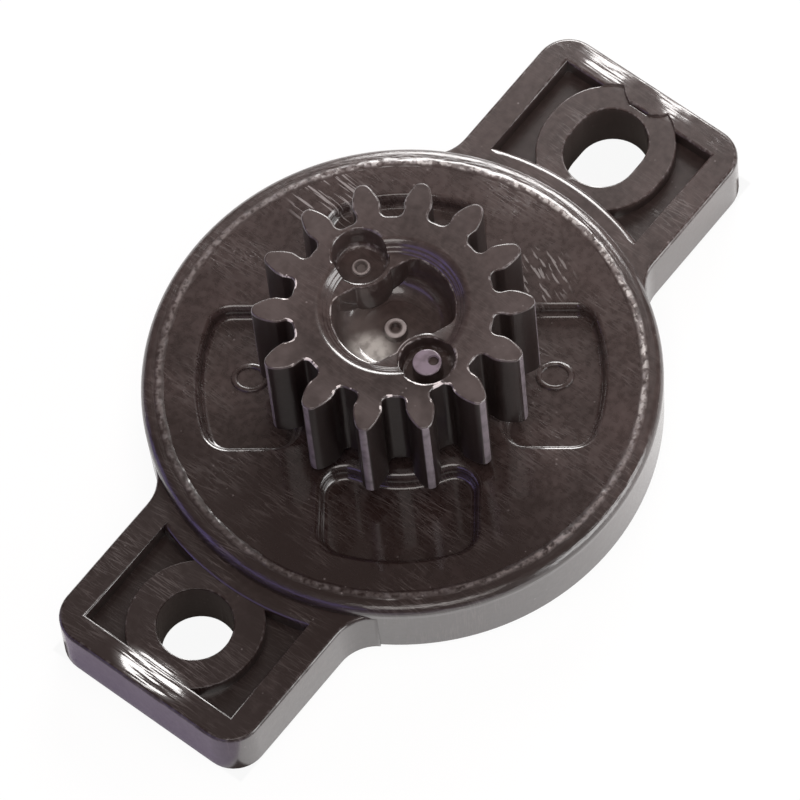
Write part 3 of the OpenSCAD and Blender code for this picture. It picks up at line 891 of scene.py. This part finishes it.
def pinion_wear_and_painted_light(f, tone, bump):
    """Dull flanks with painted shade, paler rubbed tips with a painted lilac sheen, paler tooth tops as
    painted light, white burrs that are also painted glints, painted light and a painted glare patch on the
    core floor, and painted glare on the torn gate stubs.
    """
    x, y, z = f.add("ShaderNodeSeparateXYZ", {0: f.spot}).outputs[:3]

    def far(x0, y0):
        return f.length(f.calc("SUBTRACT", x, x0 * MM), f.calc("SUBTRACT", y, y0 * MM))

    out = far(0, 0)
    worn = f.ramp(f.noise(f.spot, 1400.0, 3.0), 0.25, 0.6, 0.45, 1.0)
    # Painted shade: the tooth flanks are darkened. The same mask also dulls their gloss.
    shaded_dull_flank = f.calc("MULTIPLY", f.ramp(out, 0.0055, 0.0056), f.ramp(z, 0.01335, 0.0132))
    tone = f.mix(f.calc("MULTIPLY", shaded_dull_flank, 0.75), tone, FLANK_SHADE_BLACK)
    # Painted light: the tops of the teeth are paler, more towards -X.
    top = f.calc("MULTIPLY", f.ramp(out, 0.0048, 0.0068), f.ramp(z, 0.0132, 0.0133))
    top = f.calc("MULTIPLY", top, f.ramp(x, 0.007, 0.0, 0.25, 0.65))
    top = f.calc("MULTIPLY", top, f.ramp(f.noise(f.spot, 900.0, 3.0), 0.3, 0.65, 0.45, 1.0))
    tone = f.mix(top, tone, TOP_LIGHT_GREY)
    # Rubbed tip lands with a painted lilac sheen: paler and lilac-tinted.
    tip = f.calc("MULTIPLY", f.ramp(out, 0.007952, 0.00797), f.ramp(z, 0.01338, 0.0133))
    tone = f.mix(f.calc("MULTIPLY", tip, worn), tone, TIP_RUB_AND_SHEEN_GREY)
    # Burrs painted white only at the roots on the -X side, where the light glints: burrs and painted glints.
    burr_and_glint = f.calc("MULTIPLY", f.wear(), f.ramp(f.noise(f.spot, 2300.0, 2.0), 0.5, 0.6))
    burr_and_glint = f.calc("MULTIPLY", burr_and_glint, f.ramp(x, 0.0005, -0.002))
    at_root = f.calc("MULTIPLY", f.ramp(out, 0.0069, 0.0064), f.ramp(z, 0.0127, 0.0129))
    tone = f.mix(f.calc("MULTIPLY", burr_and_glint, at_root), tone, BURR_AND_GLINT_WHITE)
    # Painted light: the core's floor is made paler, more towards -X.
    core = f.calc("MULTIPLY", f.ramp(out, 0.0036, 0.0033), f.ramp(z, 0.0117, 0.0105))
    core = f.calc("MULTIPLY", core, f.ramp(x, 0.0012, -0.0016))
    tone = f.mix(f.calc("MULTIPLY", core, f.calc("MULTIPLY", worn, 0.7)), tone, CORE_LIGHT_GREY)
    # Painted glare: a pale patch on the core's floor.
    patch = f.ramp(far(GLARE_X, GLARE_Y), 0.0017, 0.0006)
    patch = f.calc("MULTIPLY", patch, f.ramp(z, 0.0117, 0.0109))
    patch = f.calc("MULTIPLY", patch, f.ramp(f.noise(f.spot, 1900.0, 3.0), 0.3, 0.6, 0.5, 1.0))
    tone = f.mix(patch, tone, GLARE_PATCH_WHITE)
    turn = math.radians(WELL_TURN)
    # Painted glare: a pale disc, a pale ring and a lilac disc on the gate stubs.
    stubs = ((1, 0.58, 11.5, 0.0, PIP_GLARE_DIM),
             (1, 0.58, 11.75, 0.42, PIP_GLARE_GREY),
             (-1, 0.86, 12.8, 0.0, PIP_GLARE_LILAC))
    for side, r, foot, inner, pale in stubs:
        off = far(side * WELL_OUT * math.cos(turn), side * WELL_OUT * math.sin(turn))
        above = f.ramp(z, (foot - 0.05) * MM, foot * MM)
        stub = f.calc("MULTIPLY", f.ramp(off, r * MM, 0.92 * r * MM), above)
        if inner:
            stub = f.calc("MULTIPLY", stub, f.ramp(off, (inner - 0.04) * MM, inner * MM))
        tone = f.mix(f.calc("MULTIPLY", stub, worn), tone, pale)
    # Painted glare: a pale ring on the rotor's stub.
    stub = f.calc("MULTIPLY", f.ramp(out, 0.0007, 0.00066), f.ramp(z, 0.0106, 0.01066))
    stub = f.calc("MULTIPLY", stub, f.ramp(out, 0.00034, 0.00046))
    return f.mix(f.calc("MULTIPLY", stub, worn), tone, STUB_GLARE_GREY), bump, shaded_dull_flank


def seal_rubber(name):
    f = Finish(name)
    grain = f.noise(f.spot, 5200.0, 3.0)
    tone = f.mix(f.noise(f.spot, 800.0, 2.0), RUBBER_DARK, RUBBER_LIGHT)
    bump = f.add("ShaderNodeBump", {"Strength": 0.4, "Distance": 0.00001, "Height": grain}).outputs[0]
    f.set(Base_Color=tone, Roughness=f.ramp(grain, 0.2, 0.8, 0.5, 0.72), Normal=bump)
    return f.material


housing_plastic = black_plastic("housing_plastic", 0.30, 0.6, 0.25, 0.12, ears_dents_and_painted_shade)
cover_plastic = black_plastic("cover_plastic", 0.22, 0.6, 0.1, 0.06, stroked_cover)
pinion_plastic = black_plastic("pinion_plastic", 0.30, 0.25, 0.5, 0.12, pinion_wear_and_painted_light)
bead_plastic = black_plastic("bead_plastic", 0.32, 0.3, 0.8, 0.16, grained_seam)
rubber = seal_rubber("seal_rubber")
build_housing(housing_plastic)
build_cover(cover_plastic)
build_bead(bead_plastic)
build_pinion(pinion_plastic)
build_rotor(pinion_plastic)
for name in ("cover_seal", "shaft_seal"):
    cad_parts[name].data.materials.clear()
    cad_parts[name].data.materials.append(rubber)


# Camera at the photo's angle
PICTURE = 800
SENSOR = 36


def set_camera():
    az, el, roll = math.radians(45.59980), math.radians(62.90226), math.radians(-6.99050)
    unit, distance, scale = 0.015, 30.597, 259.8171
    right = Vector((math.cos(az), -math.sin(az), 0))
    near = Vector((-math.sin(az), -math.cos(az), 0))
    up = -near * math.sin(el) + Vector((0, 0, math.cos(el)))
    back = near * math.cos(el) + Vector((0, 0, math.sin(el)))
    right, up = right * math.cos(roll) + up * math.sin(roll), -right * math.sin(roll) + up * math.cos(roll)
    off_x, off_y = 5.9124 / scale, -12.8110 / scale
    spot = (back * distance - right * off_x - up * off_y) * unit
    data = bpy.data.cameras.new("camera")
    data.sensor_width = SENSOR
    data.lens = SENSOR * scale * distance / PICTURE
    camera = bpy.data.objects.new("camera", data)
    camera.matrix_world = Matrix((
        (right.x, up.x, back.x, spot.x),
        (right.y, up.y, back.y, spot.y),
        (right.z, up.z, back.z, spot.z),
        (0, 0, 0, 1)))
    bpy.context.scene.collection.objects.link(camera)
    bpy.context.scene.camera = camera


set_camera()


# Floor and light
FLOOR_GREY = (0.85, 0.85, 0.85, 1)
# Painted shadow under the damper
FLOOR_SHADOW = (0.1, 0.09, 0.085, 1)
FLOOR_WHITE = (1, 1, 1, 1)
# Painted lilac reflection for the left of the floor
LILAC_GLOW = (0.22, 0.15, 0.32, 1)
VIOLET = (0.44, 0.35, 1)


def set_floor():
    """A pale floor that the camera sees as white, with a painted lilac glow at the left that only
    reflections see, and a painted shadow below the damper.
    """
    bm = bmesh.new()
    bmesh.ops.create_grid(bm, x_segments=1, y_segments=1, size=2)
    bmesh.ops.translate(bm, verts=bm.verts, vec=(0, 0, -0.0001))
    mesh = bpy.data.meshes.new("floor")
    bm.to_mesh(mesh)
    bm.free()
    floor = bpy.data.objects.new("floor", mesh)
    bpy.context.scene.collection.objects.link(floor)
    f = Finish("white_floor")
    f.set(Roughness=0.9)
    ray = f.add("ShaderNodeLightPath", {}).outputs
    mirrored = f.calc("MAXIMUM", ray["Is Glossy Ray"], ray["Is Transmission Ray"])
    x, y = f.add("ShaderNodeSeparateXYZ", {0: f.spot}).outputs[:2]
    # Painted reflection: a lilac glow at the left of the floor, seen only in reflections.
    left = f.calc("MULTIPLY", mirrored, f.ramp(x, -0.0237, -0.0243))
    # Painted shadow: the floor under the damper is dark, which the camera hardly sees.
    painted_floor_shadow = f.ramp(f.calc("ABSOLUTE", x), 0.0240, 0.0238)
    painted_floor_shadow = f.calc("MULTIPLY", painted_floor_shadow, f.ramp(f.calc("ABSOLUTE", y), 0.0070, 0.0068))
    mirrored = f.calc("MULTIPLY", mirrored, f.calc("SUBTRACT", 1.0, painted_floor_shadow))
    f.set(Base_Color=f.mix(painted_floor_shadow, FLOOR_GREY, FLOOR_SHADOW))
    glow = f.add("ShaderNodeEmission", {
        "Color": f.mix(left, FLOOR_WHITE, LILAC_GLOW), "Strength": 1.0}).outputs[0]
    seen = f.calc("MULTIPLY", ray["Is Camera Ray"], 0.93)
    share = f.calc("MAXIMUM", seen, f.calc("MULTIPLY", mirrored, 0.6))
    both = f.add("ShaderNodeMixShader", {0: share, 1: f.surface.outputs[0], 2: glow}).outputs[0]
    f.put(f.tree.nodes["Material Output"].inputs["Surface"], both)
    floor.data.materials.append(f.material)


def set_panel(name, azimuth, elevation, distance, width, height, watts, color, mirrored=True):
    """A soft light panel that faces the damper. Azimuth is counted from +X towards +Y."""
    data = bpy.data.lights.new(name, "AREA")
    data.shape = "RECTANGLE"
    data.size = width
    data.size_y = height
    data.energy = watts
    data.color = color
    lamp = bpy.data.objects.new(name, data)
    az, el = math.radians(azimuth), math.radians(elevation)
    way = Vector((math.cos(az) * math.cos(el), math.sin(az) * math.cos(el), math.sin(el)))
    lamp.location = way * distance
    lamp.rotation_euler = way.to_track_quat("Z", "Y").to_euler()
    lamp.visible_camera = False
    lamp.visible_glossy = mirrored
    bpy.context.scene.collection.objects.link(lamp)


def set_light():
    world = bpy.data.worlds.new("world")
    world.use_nodes = True
    sky = world.node_tree.nodes["Background"]
    sky.inputs["Color"].default_value = (1, 0.87, 0.82, 1)
    sky.inputs["Strength"].default_value = 0.12
    bpy.context.scene.world = world
    set_panel("key_panel", 28, 31, 0.18, 0.09, 0.09, 0.28, (1, 0.98, 0.97))
    set_panel("right_panel", 288, 20, 0.22, 0.18, 0.12, 0.28, (1, 1, 1))
    set_panel("top_panel", 228, 80, 0.30, 0.24, 0.24, 0.68, (1, 0.90, 0.85), False)
    set_panel("left_panel", 174, 25, 0.22, 0.22, 0.09, 0.040, VIOLET)
    set_panel("far_left_panel", 132, 10, 0.22, 0.16, 0.07, 0.030, VIOLET)
    set_panel("front_panel", 224, 60, 0.25, 0.12, 0.10, 0.09, (1, 0.95, 0.92))


set_floor()
set_light()
bpy.context.scene.view_settings.view_transform = "Standard"
